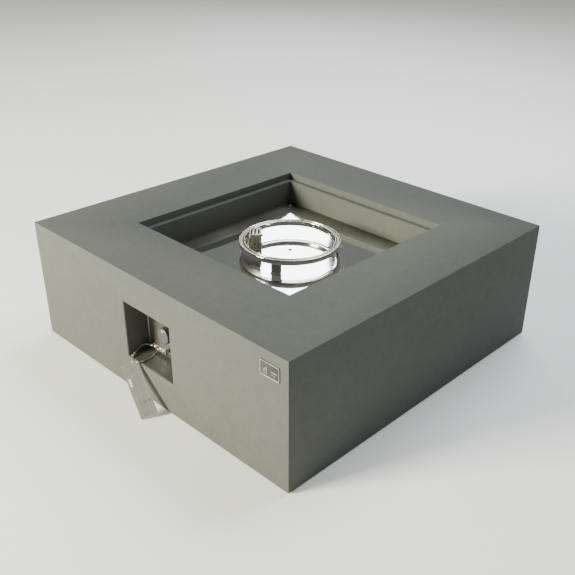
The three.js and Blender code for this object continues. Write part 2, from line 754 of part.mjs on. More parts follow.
const sleeveAxis = sleeveTo.clone().sub(sleeveFrom).normalize();
const sleeveShape = post(SLEEVE_R, 0, 0, -SLEEVE_L / 2, SLEEVE_L / 2, 16).subtract(
  post(WIRE_R + GAP + 0.1, 0, 0, -SLEEVE_L, SLEEVE_L, 16),
);
const sleeve = addMesh("lanyard_sleeve", sleeveShape, brushedSteel);
sleeve.position.copy(sleeveFrom).add(sleeveTo).multiplyScalar(0.5);
sleeve.quaternion.setFromUnitVectors(new THREE.Vector3(0, 0, 1), sleeveAxis);

// Rating plate: hung by its upper right corner, its lowest corner at the floor.
const tagFace = TAG_ACROSS.clone().cross(TAG_DOWN).negate().normalize();
const tagDown = TAG_DOWN.clone().normalize();
const tagAcross = tagDown.clone().cross(tagFace).negate().normalize();
const tagShape = block(-TAG_W, 0, -TAG_L, 0, -TAG_T / 2, TAG_T / 2).subtract(
  post(TAG_HOLE_R, -TAG_HOLE_IN, -TAG_HOLE_IN, -2, 2, 16),
);
const tag = addMesh("rating_plate", tagShape, labelMetal);
const tagTurn = new THREE.Matrix4().makeBasis(tagAcross, tagDown.clone().negate(), tagFace);
tag.quaternion.setFromRotationMatrix(tagTurn);
tag.position.copy(TAG_CORNER);

// Badge on the front face, with a raised double border.
const badgeZ = FOOT_H + BADGE_UP;
const badgeBack = FRONT - GAP;
const badgeFront = badgeBack - BADGE_T;
const badgeBlock = (inset, y0, y1) =>
  block(
    BADGE_X - BADGE_W / 2 + inset,
    BADGE_X + BADGE_W / 2 - inset,
    y0,
    y1,
    badgeZ - BADGE_H / 2 + inset,
    badgeZ + BADGE_H / 2 - inset,
  );
addMesh("badge_plate", badgeBlock(0, badgeFront, badgeBack), blackPlastic);
const frameFront = badgeFront - GAP - 0.7;
const frameBack = badgeFront - GAP;
addMesh(
  "badge_border",
  badgeBlock(0.6, frameFront, frameBack).subtract(badgeBlock(2.2, frameFront - 1, frameBack + 1)),
  brushedSteel,
);

// Pipes and leads between the valve, the igniter and the burner.
const hoseRoute = [
  [outletX - NUT_L - GAP, valveY, KNOB_Z],
  [outletX - NUT_L - 22, valveY + 1, KNOB_Z],
  [-92, valveY + 26, KNOB_Z - 8],
  [-112, valveY + 70, KNOB_Z - 26],
  [riserX - 8, riserY - 190, 118],
  [riserX - 5, riserY - 110, 104],
  [riserX, riserY - 48, 112],
  [riserX, riserY - 10, 140],
  [riserX, riserY, 164],
  [riserX, riserY, jetLow - GAP],
];
addMesh("burner_hose", tube(hoseRoute, 5.5, 10, 60), brushedSteel);
const pilotLow = cageFrame.position.z + 3 - GAP;
const local = (x, y) => {
  const a = cageFrame.rotation.z;
  return [
    CAGE_X + x * Math.cos(a) - y * Math.sin(a),
    CAGE_Y + x * Math.sin(a) + y * Math.cos(a),
  ];
};
const [pilotX, pilotY] = local(0, -3);
const pilotRoute = [
  [KNOB_X - 10, valveY, KNOB_Z + VALVE_H / 2 + 7 + GAP],
  [KNOB_X - 10, valveY, KNOB_Z + VALVE_H / 2 + 15],
  [KNOB_X - 12, valveY + 18, KNOB_Z + 42],
  [-20, -310, 206],
  [-28, -262, 184],
  [-44, -200, 164],
  [pilotX + 8, pilotY - 60, 160],
  [pilotX, pilotY - 12, 184],
  [pilotX, pilotY, 208],
  [pilotX, pilotY, pilotLow],
];
addMesh("pilot_tube", tube(pilotRoute, 2.4, 8, 60), galvanised);
const [sparkX, sparkY] = local(2, 9.5);
const wireRoute = [
  [IGNITER_X, igniterBack + GAP, IGNITER_Z],
  [IGNITER_X, igniterBack + 14, IGNITER_Z - 1],
  [10, -290, 112],
  [-10, -230, 118],
  [-40, -140, 130],
  [sparkX + 10, sparkY - 40, 150],
  [sparkX, sparkY - 4, 190],
  [sparkX, sparkY, 210],
  [sparkX, sparkY, cageFrame.position.z + 2 - GAP],
];
addMesh("ignition_wire", tube(wireRoute, 1.6, 8, 60), redWire);

export default root;
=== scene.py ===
import math
import bpy
from mathutils import Matrix, Vector


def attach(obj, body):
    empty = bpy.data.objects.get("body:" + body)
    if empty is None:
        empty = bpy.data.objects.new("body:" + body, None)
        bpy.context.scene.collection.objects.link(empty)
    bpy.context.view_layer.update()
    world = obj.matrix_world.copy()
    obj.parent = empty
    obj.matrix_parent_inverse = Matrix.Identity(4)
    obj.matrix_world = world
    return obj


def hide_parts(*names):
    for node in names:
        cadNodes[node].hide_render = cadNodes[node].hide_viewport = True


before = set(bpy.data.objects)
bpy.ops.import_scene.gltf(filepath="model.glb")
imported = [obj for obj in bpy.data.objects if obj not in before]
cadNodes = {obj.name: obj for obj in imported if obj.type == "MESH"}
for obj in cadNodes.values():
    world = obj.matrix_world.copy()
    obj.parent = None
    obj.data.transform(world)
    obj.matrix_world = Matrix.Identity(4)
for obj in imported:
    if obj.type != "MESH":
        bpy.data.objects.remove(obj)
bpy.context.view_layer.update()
mm = 0.001

cameraSetup = {
    "place": (1.3341, -1.3259, 1.1280),
    "turn": (61.064, -1.191, 43.243),
    "lens": 49.78,
    "shift": (-0.0589, 0.0295),
}
cameraData = bpy.data.cameras.new("viewCamera")
cameraData.lens = cameraSetup["lens"]
cameraData.shift_x, cameraData.shift_y = cameraSetup["shift"]
camera = bpy.data.objects.new("viewCamera", cameraData)
camera.location = cameraSetup["place"]
camera.rotation_euler = [math.radians(a) for a in cameraSetup["turn"]]
bpy.context.scene.collection.objects.link(camera)
bpy.context.scene.camera = camera

lightSetup = {
    "key": {"place": (-2.0, -5.0, 1.9), "size": (1.8, 1.4), "power": 1020, "colour": (1.0, 0.99, 0.76)},
    "top": {"place": (0.0, 2.2, 3.8), "size": (3.0, 2.4), "power": 200, "colour": (0.9, 0.97, 1.0)},
    "back": {"place": (-3.2, 3.2, 2.75), "size": (0.62, 2.3), "power": 40, "colour": (0.93, 0.97, 1.0)},
}
lightTarget = Vector((0, 0, 0.25))


def addSoftLight(name, spec):
    data = bpy.data.lights.new(name, "AREA")
    data.shape = "RECTANGLE"
    data.size, data.size_y = spec["size"]
    data.energy = spec["power"]
    data.color = spec["colour"]
    lamp = bpy.data.objects.new(name, data)
    lamp.location = spec["place"]
    lamp.rotation_euler = (lightTarget - lamp.location).to_track_quat("-Z", "Y").to_euler()
    bpy.context.scene.collection.objects.link(lamp)


for lightName, lightSpec in lightSetup.items():
    addSoftLight(lightName + "Light", lightSpec)

worldLight = {"colour": (0.95, 0.98, 0.93, 1), "strength": 0.2}
world = bpy.data.worlds.new("studio")
world.use_nodes = True
background = world.node_tree.nodes["Background"]
background.inputs["Color"].default_value = worldLight["colour"]
background.inputs["Strength"].default_value = worldLight["strength"]
bpy.context.scene.world = world
print("camera and light set")


class Value:
    # an output socket that takes part in plain arithmetic
    def __init__(self, shade, socket):
        self.shade = shade
        self.socket = socket

    def calc(self, operation, first, second):
        return self.shade.node("ShaderNodeMath", {"operation": operation}, {0: first, 1: second})

    def __add__(self, other):
        return self.calc("ADD", self, other)

    def __radd__(self, other):
        return self.calc("ADD", other, self)

    def __sub__(self, other):
        return self.calc("SUBTRACT", self, other)

    def __rsub__(self, other):
        return self.calc("SUBTRACT", other, self)

    def __mul__(self, other):
        return self.calc("MULTIPLY", self, other)

    def __rmul__(self, other):
        return self.calc("MULTIPLY", other, self)

    def __pow__(self, other):
        return self.calc("POWER", self, other)


class Shade:
    # a material and the nodes in it
    def __init__(self, name):
        self.material = bpy.data.materials.new(name)
        self.material.use_nodes = True
        self.tree = self.material.node_tree
        self.shader = self.tree.nodes["Principled BSDF"]
        self.coords = self.node("ShaderNodeTexCoord", {}, {}, "Object")

    def node(self, kind, settings, inputs, output=0):
        made = self.tree.nodes.new(kind)
        for key, value in settings.items():
            if key == "stops":
                ramp = made.color_ramp
                while len(ramp.elements) < len(value):
                    ramp.elements.new(0.5)
                for element, (place, colour) in zip(ramp.elements, value):
                    element.position = place
                    element.color = (*colour, 1)
            else:
                setattr(made, key, value)
        for key, value in inputs.items():
            self.join(value, made.inputs[key])
        return Value(self, made.outputs[output])

    def join(self, value, socket):
        if isinstance(value, Value):
            self.tree.links.new(value.socket, socket)
        elif isinstance(value, tuple) and len(value) == 3 and socket.type == "RGBA":
            socket.default_value = (*value, 1)
        else:
            socket.default_value = value

    def stretched(self, scale, turn=(0, 0, 0)):
        return self.node("ShaderNodeMapping", {}, {"Vector": self.coords, "Scale": scale, "Rotation": turn})

    def noise(self, scale, detail=3.0, rough=0.55, vector=None):
        inputs = {"Vector": vector or self.coords, "Scale": scale, "Detail": detail, "Roughness": rough}
        return self.node("ShaderNodeTexNoise", {}, inputs)

    def cells(self, scale, vector=None):
        return self.node("ShaderNodeTexVoronoi", {}, {"Vector": vector or self.coords, "Scale": scale})

    def remap(self, value, low, high, outLow=0.0, outHigh=1.0):
        inputs = {"Value": value, "From Min": low, "From Max": high, "To Min": outLow, "To Max": outHigh}
        return self.node("ShaderNodeMapRange", {"clamp": True}, inputs)

    def mix(self, amount, first, second):
        return self.node("ShaderNodeMix", {"data_type": "RGBA"}, {0: amount, 6: first, 7: second}, 2)

    def axis(self, letter):
        return self.node("ShaderNodeSeparateXYZ", {}, {0: self.coords}, "XYZ".index(letter))

    def bump(self, height, strength, distance):
        return self.node("ShaderNodeBump", {}, {"Height": height, "Strength": strength, "Distance": distance})

    def finish(self, **sockets):
        names = {"colour": "Base Color", "rough": "Roughness", "metal": "Metallic", "normal": "Normal",
                 "coat": "Coat Weight", "coatRough": "Coat Roughness", "specular": "Specular IOR Level",
                 "glow": "Emission Color", "glowPower": "Emission Strength"}
        for key, value in sockets.items():
            self.join(value, self.shader.inputs[names[key]])
        return self.material


def concreteFinish():
    s = Shade("concrete")
    patches = s.remap(s.noise(3.2, 4, 0.6), 0.35, 0.68)
    mottle = s.remap(s.noise(34, 5, 0.7), 0.36, 0.66)
    speckle = s.remap(s.noise(150, 4, 0.75), 0.34, 0.66)
    grain = s.remap(s.noise(420, 3, 0.7), 0.3, 0.7)
    pits = s.remap(s.cells(95), 0.0, 0.13, 1.0, 0.0)
    pitMask = s.remap(s.noise(16, 2, 0.5), 0.52, 0.62) * pits
    base = s.mix(patches, (0.078, 0.083, 0.078), (0.090, 0.094, 0.089))
    base = s.mix(mottle * 0.5, base, (0.105, 0.108, 0.101))
    base = s.mix(speckle * 0.4, base, (0.062, 0.065, 0.062))
    base = s.mix(grain * 0.3, base, (0.115, 0.119, 0.112))
    # the small pits are painted near black: painted shade in the holes, besides their dents in the bump below
    base = s.mix(pitMask * 0.5, base, (0.038, 0.038, 0.036))
    height = grain * 0.35 + mottle * 0.5 + speckle * 0.3 - pitMask * 1.2
    return s.finish(colour=base, rough=0.82 + grain * 0.12, normal=s.bump(height, 0.35, 0.0006), specular=0.3)


def metalFinish(name, spec):
    # brushed or rolled metal: long fine streaks along one axis, soft stains and a little grain
    s = Shade(name)
    streaks = s.noise(spec["fine"], 2, 0.5, s.stretched(spec["along"]))
    stain = s.remap(s.noise(spec["stain"], 4, 0.6), 0.38, 0.68)
    base = s.mix(stain, spec["colour"], spec["other"])
    base = s.mix(s.remap(streaks, 0.35, 0.65) * spec["streak"], base, spec["dark"])
    rough = spec["rough"] + streaks * spec["roughSpread"] + stain * spec["roughSpread"] * 0.5
    normal = s.bump(streaks, spec["bump"], 0.0003)
    return s.finish(colour=base, rough=rough, metal=spec["metal"], normal=normal)


metalSpecs = {
    "panSteel": {"colour": (0.20, 0.19, 0.165), "other": (0.25, 0.235, 0.195), "dark": (0.13, 0.125, 0.11),
                 "metal": 0.95, "rough": 0.3, "roughSpread": 0.14, "fine": 260, "stain": 5, "streak": 0.35,
                 "along": (0.06, 1, 1), "bump": 0.06},
    "mirrorSteel": {"colour": (0.86, 0.88, 0.9), "other": (0.83, 0.83, 0.82), "dark": (0.78, 0.77, 0.75),
                    "metal": 1.0, "rough": 0.02, "roughSpread": 0.04, "fine": 120, "stain": 22, "streak": 0.2,
                    "along": (1, 1, 1), "bump": 0.01},
    "burnerSteel": {"colour": (0.74, 0.71, 0.64), "other": (0.6, 0.54, 0.42), "dark": (0.42, 0.39, 0.33),
                    "metal": 1.0, "rough": 0.09, "roughSpread": 0.09, "fine": 300, "stain": 14, "streak": 0.25,
                    "along": (1, 1, 0.1), "bump": 0.03},
    "cageSteel": {"colour": (0.5, 0.48, 0.43), "other": (0.38, 0.35, 0.3), "dark": (0.25, 0.23, 0.2),
                  "metal": 1.0, "rough": 0.28, "roughSpread": 0.14, "fine": 400, "stain": 40, "streak": 0.3,
                  "along": (1, 1, 0.1), "bump": 0.04},
    "brightSteel": {"colour": (0.66, 0.65, 0.62), "other": (0.58, 0.56, 0.52), "dark": (0.42, 0.41, 0.38),
                    "metal": 1.0, "rough": 0.2, "roughSpread": 0.14, "fine": 500, "stain": 60, "streak": 0.3,
                    "along": (0.1, 1, 1), "bump": 0.04},
    "galvanised": {"colour": (0.48, 0.49, 0.49), "other": (0.62, 0.63, 0.63), "dark": (0.36, 0.37, 0.38),
                   "metal": 0.9, "rough": 0.38, "roughSpread": 0.16, "fine": 90, "stain": 70, "streak": 0.4,
                   "along": (1, 1, 1), "bump": 0.05},
    "brass": {"colour": (0.62, 0.44, 0.17), "other": (0.5, 0.34, 0.13), "dark": (0.34, 0.22, 0.09),
              "metal": 1.0, "rough": 0.24, "roughSpread": 0.14, "fine": 500, "stain": 50, "streak": 0.25,
              "along": (1, 1, 1), "bump": 0.03},
    "castAlloy": {"colour": (0.45, 0.45, 0.45), "other": (0.52, 0.52, 0.51), "dark": (0.3, 0.3, 0.3),
                  "metal": 0.9, "rough": 0.42, "roughSpread": 0.14, "fine": 700, "stain": 80, "streak": 0.4,
                  "along": (1, 1, 1), "bump": 0.12},
    "heatSteel": {"colour": (0.09, 0.085, 0.08), "other": (0.16, 0.12, 0.09), "dark": (0.05, 0.05, 0.05),
                  "metal": 0.9, "rough": 0.4, "roughSpread": 0.14, "fine": 500, "stain": 120, "streak": 0.3,
                  "along": (1, 1, 1), "bump": 0.05},
    "wireRope": {"colour": (0.62, 0.62, 0.6), "other": (0.72, 0.72, 0.7), "dark": (0.3, 0.3, 0.29),
                 "metal": 0.9, "rough": 0.3, "roughSpread": 0.14, "fine": 900, "stain": 300, "streak": 0.6,
                 "along": (1, 1, 1), "bump": 0.5},
}


def plainFinish(name, spec):
    # moulded, painted or fired surfaces: two tones, fine texture and worn gloss
    s = Shade(name)
    tone = s.remap(s.noise(spec["patch"], 3, 0.5), 0.38, 0.64)
    grain = s.noise(spec["grain"], 2, 0.6)
    base = s.mix(tone, spec["colour"], spec["other"])
    rough = spec["rough"] + grain * 0.12 + tone * 0.06
    return s.finish(colour=base, rough=rough, normal=s.bump(grain, spec["bump"], 0.0002),
                    metal=spec.get("metal", 0.0), coat=spec.get("coat", 0.0))


plainSpecs = {
    "blackRubber": {"colour": (0.012, 0.012, 0.012), "other": (0.02, 0.02, 0.02), "patch": 90, "grain": 1500,
                    "rough": 0.7, "bump": 0.2},
    "blackPlastic": {"colour": (0.018, 0.018, 0.021), "other": (0.028, 0.028, 0.032), "patch": 60,
                     "grain": 2200, "rough": 0.32, "bump": 0.12},
    "knobPlastic": {"colour": (0.04, 0.042, 0.047), "other": (0.055, 0.057, 0.063), "patch": 40,
                    "grain": 2000, "rough": 0.34, "bump": 0.1},
    "badgeBlack": {"colour": (0.008, 0.008, 0.009), "other": (0.014, 0.014, 0.015), "patch": 80, "grain": 900,
                   "rough": 0.22, "bump": 0.02, "coat": 0.4},
    "nichePaint": {"colour": (0.085, 0.086, 0.08), "other": (0.115, 0.116, 0.108), "patch": 14, "grain": 1200,
                   "rough": 0.36, "bump": 0.08, "metal": 0.35},
    "printWhite": {"colour": (0.78, 0.78, 0.76), "other": (0.86, 0.86, 0.84), "patch": 200, "grain": 1500,
                   "rough": 0.45, "bump": 0.02},
    "ceramic": {"colour": (0.74, 0.7, 0.62), "other": (0.82, 0.79, 0.72), "patch": 150, "grain": 900,
                "rough": 0.22, "bump": 0.03, "coat": 0.5},
    "wireCover": {"colour": (0.22, 0.03, 0.022), "other": (0.3, 0.05, 0.035), "patch": 90, "grain": 1500,
                  "rough": 0.5, "bump": 0.1},
}
# where the painted shade lies on the ring: a band round the channel floor, its half width and its height
ringChannelShade = {"radius": 0.124, "halfWidth": (0.0034, 0.0046), "height": (0.2785, 0.2788)}


def ringFinish(marks):
    # bright rolled rims; the sunk channel between them is painted dark brown as painted shade
    s = Shade("ringSteel")
    flat = s.node("ShaderNodeVectorMath", {"operation": "MULTIPLY"}, {0: s.coords, 1: (1.0, 1.0, 0.0)})
    reach = s.node("ShaderNodeVectorMath", {"operation": "LENGTH"}, {0: flat}, 1)
    off = s.node("ShaderNodeMath", {"operation": "ABSOLUTE"}, {0: reach - marks["radius"]})
    # mask of the channel floor, which is painted dark below as painted shade in the sunk channel
    channelShade = s.remap(off, *marks["halfWidth"], 1.0, 0.0) * s.remap(s.axis("Z"), *marks["height"])
    stain = s.remap(s.noise(18, 4, 0.6), 0.38, 0.68)
    streaks = s.noise(300, 2, 0.5, s.stretched((1, 1, 0.1)))
    base = s.mix(stain, (0.78, 0.76, 0.70), (0.66, 0.62, 0.52))
    base = s.mix(channelShade, base, (0.20, 0.165, 0.11))
    base = s.mix(s.remap(streaks, 0.35, 0.65) * 0.2, base, (0.42, 0.39, 0.33))
    rough = 0.08 + channelShade * 0.3 + streaks * 0.08
    return s.finish(colour=base, rough=rough, metal=1.0, normal=s.bump(streaks, 0.03, 0.0003))


finishes = {"concrete": concreteFinish(), "ringSteel": ringFinish(ringChannelShade)}
for finishName, finishSpec in metalSpecs.items():
    finishes[finishName] = metalFinish(finishName, finishSpec)
for finishName, finishSpec in plainSpecs.items():
    finishes[finishName] = plainFinish(finishName, finishSpec)

# the CAD pieces that are shown as they are
nodeFinishes = {
    "pan_rail_": "galvanised", "burner_pan": "panSteel", "burner_riser": "burnerSteel", "gas_jet": "brass",
    "pilot_burner": "brass", "niche_box": "nichePaint", "control_panel": "nichePaint", "gas_valve": "castAlloy",
    "gas_inlet_fitting": "brass", "gas_outlet_nut": "brass", "igniter_nut": "galvanised",
    "igniter_body": "blackPlastic", "lanyard_ball": "brightSteel", "burner_hose": "brightSteel",
    "pilot_tube": "galvanised", "ignition_wire": "wireCover", "stem_collar": "brightSteel",
    "valve_stem": "brightSteel",
}
for nodeName, nodeObject in cadNodes.items():
    for start, finishName in nodeFinishes.items():
        if nodeName.startswith(start):
            nodeObject.material_slots[0].material = finishes[finishName]
            break
print("materials set")


def clearSelection():
    bpy.ops.object.select_all(action="DESELECT")


def makeActive(piece):
    clearSelection()
    piece.select_set(True)
    bpy.context.view_layer.objects.active = piece


def pickFaces(piece, test):
    # leaves edit mode on with only the wanted faces selected
    makeActive(piece)
    bpy.ops.object.mode_set(mode="EDIT")
    bpy.ops.mesh.select_mode(type="FACE")
    bpy.ops.mesh.select_all(action="DESELECT")
    bpy.ops.object.mode_set(mode="OBJECT")
    for face in piece.data.polygons:
        face.select = bool(test(face))
    bpy.ops.object.mode_set(mode="EDIT")


def pickEdges(piece, test):
    makeActive(piece)
    bpy.ops.object.mode_set(mode="EDIT")
    bpy.ops.mesh.select_mode(type="EDGE")
    bpy.ops.mesh.select_all(action="DESELECT")
    bpy.ops.object.mode_set(mode="OBJECT")
    points = piece.data.vertices
    for edge in piece.data.edges:
        edge.select = bool(test(points[edge.vertices[0]].co, points[edge.vertices[1]].co))
    bpy.ops.object.mode_set(mode="EDIT")


def leaveEdit():
    bpy.ops.object.mode_set(mode="OBJECT")


def useModifier(piece, kind, **settings):
    makeActive(piece)
    modifier = piece.modifiers.new("step", kind)
    for key, value in settings.items():
        setattr(modifier, key, value)
    bpy.ops.object.modifier_apply(modifier=modifier.name)


def settle(piece):
    # the object's own place, turn and size go into its mesh
    makeActive(piece)
    bpy.ops.object.transform_apply(location=True, rotation=True, scale=True)


def placeBy(piece, matrix):
    piece.data.transform(matrix)


def softenEdges(piece, width, segments=2):
    useModifier(piece, "BEVEL", width=width * mm, segments=segments, limit_method="ANGLE")


def roundCorners(piece, radius, segments):
    # the four edges that run from front to back
    pickEdges(piece, lambda a, b: abs(a.x - b.x) < 1e-6 and abs(a.z - b.z) < 1e-6)
    bpy.ops.mesh.bevel(offset=radius * mm, segments=segments)
    leaveEdit()


def box(x0, x1, y0, y1, z0, z1, soft=0.0, segments=2):
    # a block between these sides, in mm, with softened edges if asked for
    centre = ((x0 + x1) / 2 * mm, (y0 + y1) / 2 * mm, (z0 + z1) / 2 * mm)
    clearSelection()
    bpy.ops.mesh.primitive_cube_add(size=1, location=centre)
    piece = bpy.context.object
    piece.scale = ((x1 - x0) * mm, (y1 - y0) * mm, (z1 - z0) * mm)
    settle(piece)
    if soft:
        softenEdges(piece, soft, segments)
    return piece


def addRound(centre, radius, depth, sides, axis="Z"):
    # a round bar, in mm, for cutting holes
    turn = {"Z": (0, 0, 0), "Y": (math.pi / 2, 0, 0), "X": (0, math.pi / 2, 0)}[axis]
    clearSelection()
    bpy.ops.mesh.primitive_cylinder_add(vertices=sides, radius=radius * mm, depth=depth * mm,
                                        location=[v * mm for v in centre], rotation=turn)
    piece = bpy.context.object
    settle(piece)
    return piece


def joinPieces(pieces):
    clearSelection()
    for piece in pieces:
        piece.select_set(True)
    bpy.context.view_layer.objects.active = pieces[0]
    bpy.ops.object.join()
    return bpy.context.object


def cutAway(piece, cutter):
    useModifier(piece, "BOOLEAN", operation="DIFFERENCE", object=cutter, solver="EXACT")
    bpy.data.objects.remove(cutter)


def addOn(piece, other):
    useModifier(piece, "BOOLEAN", operation="UNION", object=other, solver="EXACT")
    bpy.data.objects.remove(other)


def cleanMesh(piece):
    makeActive(piece)
    bpy.ops.object.mode_set(mode="EDIT")
    bpy.ops.mesh.select_all(action="SELECT")
    bpy.ops.mesh.remove_doubles(threshold=0.00001)
    bpy.ops.mesh.normals_make_consistent(inside=False)
    leaveEdit()


def drawLine(points, name):
    # one corner of a plane, pushed out point by point
    clearSelection()
    bpy.ops.mesh.primitive_plane_add(size=0.001, location=(0, 0, 0))
    piece = bpy.context.object
    piece.name = name
    bpy.ops.object.mode_set(mode="EDIT")
    bpy.ops.mesh.select_mode(type="VERT")
    bpy.ops.mesh.select_all(action="SELECT")
    bpy.ops.mesh.merge(type="CENTER")
    bpy.ops.transform.translate(value=points[0])
    for before, after in zip(points, points[1:]):
        step = Vector(after) - Vector(before)
        bpy.ops.mesh.extrude_region_move(TRANSFORM_OT_translate={"value": step})
    return piece


def spinProfile(outline, steps, name):
    # an outline of (radius, height) in mm turned once round Z; one that starts off the axis is closed
    points = [(r * mm, 0, z * mm) for r, z in outline]
    if outline[0][0] > 0:
        points.append(points[0])
    piece = drawLine(points, name)
    bpy.ops.mesh.select_all(action="SELECT")
    bpy.ops.mesh.remove_doubles(threshold=0.00001)
    bpy.ops.mesh.select_all(action="SELECT")
    bpy.ops.mesh.spin(steps=steps, angle=math.tau, center=(0, 0, 0), axis=(0, 0, 1))
    bpy.ops.mesh.select_all(action="SELECT")
    bpy.ops.mesh.remove_doubles(threshold=0.00001)
    bpy.ops.mesh.normals_make_consistent(inside=False)
    leaveEdit()
    return piece


def arc(cx, cz, radius, start, end, steps):
    turns = [math.radians(start + (end - start) * i / steps) for i in range(steps + 1)]
    return [(cx + radius * math.cos(turn), cz + radius * math.sin(turn)) for turn in turns]


def spotAt(x, y, z):
    return Matrix.Translation((x * mm, y * mm, z * mm))


def copyPiece(piece, matrix):
    copied = piece.copy()
    copied.data = piece.data.copy()
    bpy.context.scene.collection.objects.link(copied)
    copied.data.transform(matrix)
    return copied


def dropPiece(piece):
    bpy.data.objects.remove(piece)


def finishPiece(piece, name, finish, slotName, body="table", stands=(), angle=35):
    settle(piece)
    piece.name = name
    piece.data.name = name
    piece.data.materials.clear()
    piece.data.materials.append(finishes[finish])
    makeActive(piece)
    bpy.ops.object.shade_smooth_by_angle(angle=math.radians(angle))
    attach(piece, body)
    if stands:
        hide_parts(*stands)
    return piece


# the rating plate hangs from its corner; its rules and rows are (left, right, top, bottom) in mm on the print,
# and a row block adds its pitch, the thickness of a row and how far the rows start unevenly
ratingPlate = {
    "corner": (-46.0, -459.5, 97.0),
    "across": (17, 36, 9),
    "down": (104, -25, -88),
    "holeIn": 6.0,
    "rules": [
        (2, 39, 2.4, 2.8), (2, 39, 133.2, 133.6), (38.6, 39, 2.4, 133.6), (2, 2.4, 11, 133.6),
        (2, 39, 11.2, 11.6), (2, 39, 30.0, 30.4), (2, 39, 92, 92.4), (21.4, 21.7, 30.4, 92),
        (4, 12, 96, 103), (14, 22, 96, 103),
    ],
    "rows": [
        (9, 37, 4, 10, 3.0, 1.3, 9), (5, 36.5, 13.6, 28.5, 3.0, 1.2, 12), (5, 20, 33.2, 91, 3.35, 1.0, 5),
        (23, 31, 56, 91, 3.35, 1.0, 3), (23, 28.5, 33.2, 56, 3.35, 1.0, 2), (4, 37, 94.6, 131.5, 3.2, 1.1, 15),
    ],
    "whitePatch": (31.2, 36.4, 35.5, 54.5),
    "inkDepth": 0.72,
}


def ratingAxes(spec):
    down = Vector(spec["down"]).normalized()
    face = -Vector(spec["across"]).cross(down).normalized()
    return -down.cross(face).normalized(), -down, face


def ratingFinish(spec):
    # brushed label metal whose printed side carries plain ruled bars, laid out from the plate's own corner
    s = Shade("ratingPlate")
    across, up, face = ratingAxes(spec)
    corner = Vector(spec["corner"]) * mm

    def fromCorner(axis):
        reach = s.node("ShaderNodeVectorMath", {"operation": "DOT_PRODUCT"}, {0: s.coords, 1: tuple(axis)}, 1)
        return (reach - corner.dot(axis)) * (-1 / mm)

    x, y = fromCorner(across), fromCorner(up)

    def between(value, low, high):
        return value.calc("GREATER_THAN", value, low) * value.calc("LESS_THAN", value, high)

    def area(left, right, top, bottom):
        return between(x, left, right) * between(y, top, bottom)

    def rows(left, right, top, bottom, pitch, thick, ragged):
        step = (y - top) * (1 / pitch)
        number = step.calc("FLOOR", step, 0)
        waver = number * 0.618
        short = (waver - waver.calc("FLOOR", waver, 0)) * ragged
        part = step - number
        return area(left + short, right, top, bottom) * part.calc("LESS_THAN", part, thick / pitch)

    ink = sum(area(*rule) for rule in spec["rules"]) + sum(rows(*block) for block in spec["rows"])
    ink = ink.calc("MINIMUM", ink, 1.0)
    facing = s.node("ShaderNodeNewGeometry", {}, {}, "True Normal")
    front = s.node("ShaderNodeVectorMath", {"operation": "DOT_PRODUCT"}, {0: facing, 1: tuple(face)}, 1)
    front = front.calc("GREATER_THAN", front, 0.5)
    printed = ink * front
    white = area(*spec["whitePatch"]) * front
    stain = s.remap(s.noise(40, 4, 0.6), 0.38, 0.68)
    streaks = s.noise(500, 2, 0.5, s.stretched((1, 0.1, 1)))
    base = s.mix(stain, (0.40, 0.40, 0.385), (0.47, 0.47, 0.455))
    base = s.mix(s.remap(streaks, 0.35, 0.65) * 0.25, base, (0.33, 0.33, 0.32))
    base = s.mix(printed * spec["inkDepth"], base, (0.09, 0.09, 0.09))
    base = s.mix(white, base, (0.8, 0.8, 0.78))
    metal = 0.55 - printed * 0.3 - white * 0.5
    return s.finish(colour=base, rough=0.34 + streaks * 0.12 + ink * 0.1, metal=metal,
                    normal=s.bump(streaks, 0.02, 0.0002))


lanyard = {
    "radius": 1.0,
    "length": 0.18,  # metres along its centreline
    "rounds": 3,
    "route": [
        (-71, -404.8, 104.6), (-73, -407.4, 106.6), (-77, -412.5, 108.6), (-80.2, -421, 107),
        (-81.6, -429.5, 102.2), (-80.2, -437.5, 99.4), (-78.5, -443.2, 97.8), (-75.5, -449.4, 96.6),
        (-72.5, -455.6, 95.4), (-67, -461.6, 92), (-57, -466.5, 86.4), (-49.5, -465.8, 85.6),
        (-45.6, -464.2, 89.3), (-42.4, -466.9, 94), (-38.6, -465.2, 97.6), (-37, -459.5, 97.4),
        (-37.4, -452, 94.6), (-37.6, -444, 93.6), (-37.2, -432, 93.5), (-40, -420, 93.5),
        (-45, -410.5, 93.9), (-48, -402, 96.2), (-48.4, -399, 99.5), (-48.4, -398.6, 102.2),
    ],
}
lanyardSleeve = {
    "between": (6, 8),  # which points of the route it covers
    "steps": 28,
    "outline": [(1.2, -6.5), (2.2, -6.5), (2.5, -6.1), (2.5, -3.4), (2.1, -2.9), (2.1, -1.6), (2.5, -1.1),
                (2.5, 1.1), (2.1, 1.6), (2.1, 2.9), (2.5, 3.4), (2.5, 6.1), (2.2, 6.5), (1.2, 6.5)],
}
ratingPlateEyelet = {"steps": 32, "outline": [(2.05, 0.52), (2.05, 0.62), (2.4, 0.8), (3.3, 0.72), (3.5, 0.52)]}


def smoothTube(name, route, radius, rounds):
    # a round bar along a smooth line through the points
    data = bpy.data.curves.new(name, "CURVE")
    data.dimensions = "3D"
    data.bevel_depth = radius * mm
    data.bevel_resolution = rounds
    data.use_fill_caps = True
    data.resolution_u = 8
    spline = data.splines.new("BEZIER")
    spline.bezier_points.add(len(route) - 1)
    for point, place in zip(spline.bezier_points, route):
        point.co = Vector(place) * mm
        point.handle_left_type = point.handle_right_type = "AUTO"
    piece = bpy.data.objects.new(name, data)
    bpy.context.scene.collection.objects.link(piece)
    return piece


def makeSleeve(spec, route):
    start, end = [Vector(route[number]) * mm for number in spec["between"]]
    sleeve = spinProfile(spec["outline"], spec["steps"], "sleeve")
    turn = Vector((0, 0, 1)).rotation_difference((end - start).normalized()).to_matrix().to_4x4()
    placeBy(sleeve, Matrix.Translation((start + end) / 2) @ turn)
    return finishPiece(sleeve, "lanyardSleeve", "brightSteel", "bright_steel", stands=["lanyard_sleeve"])


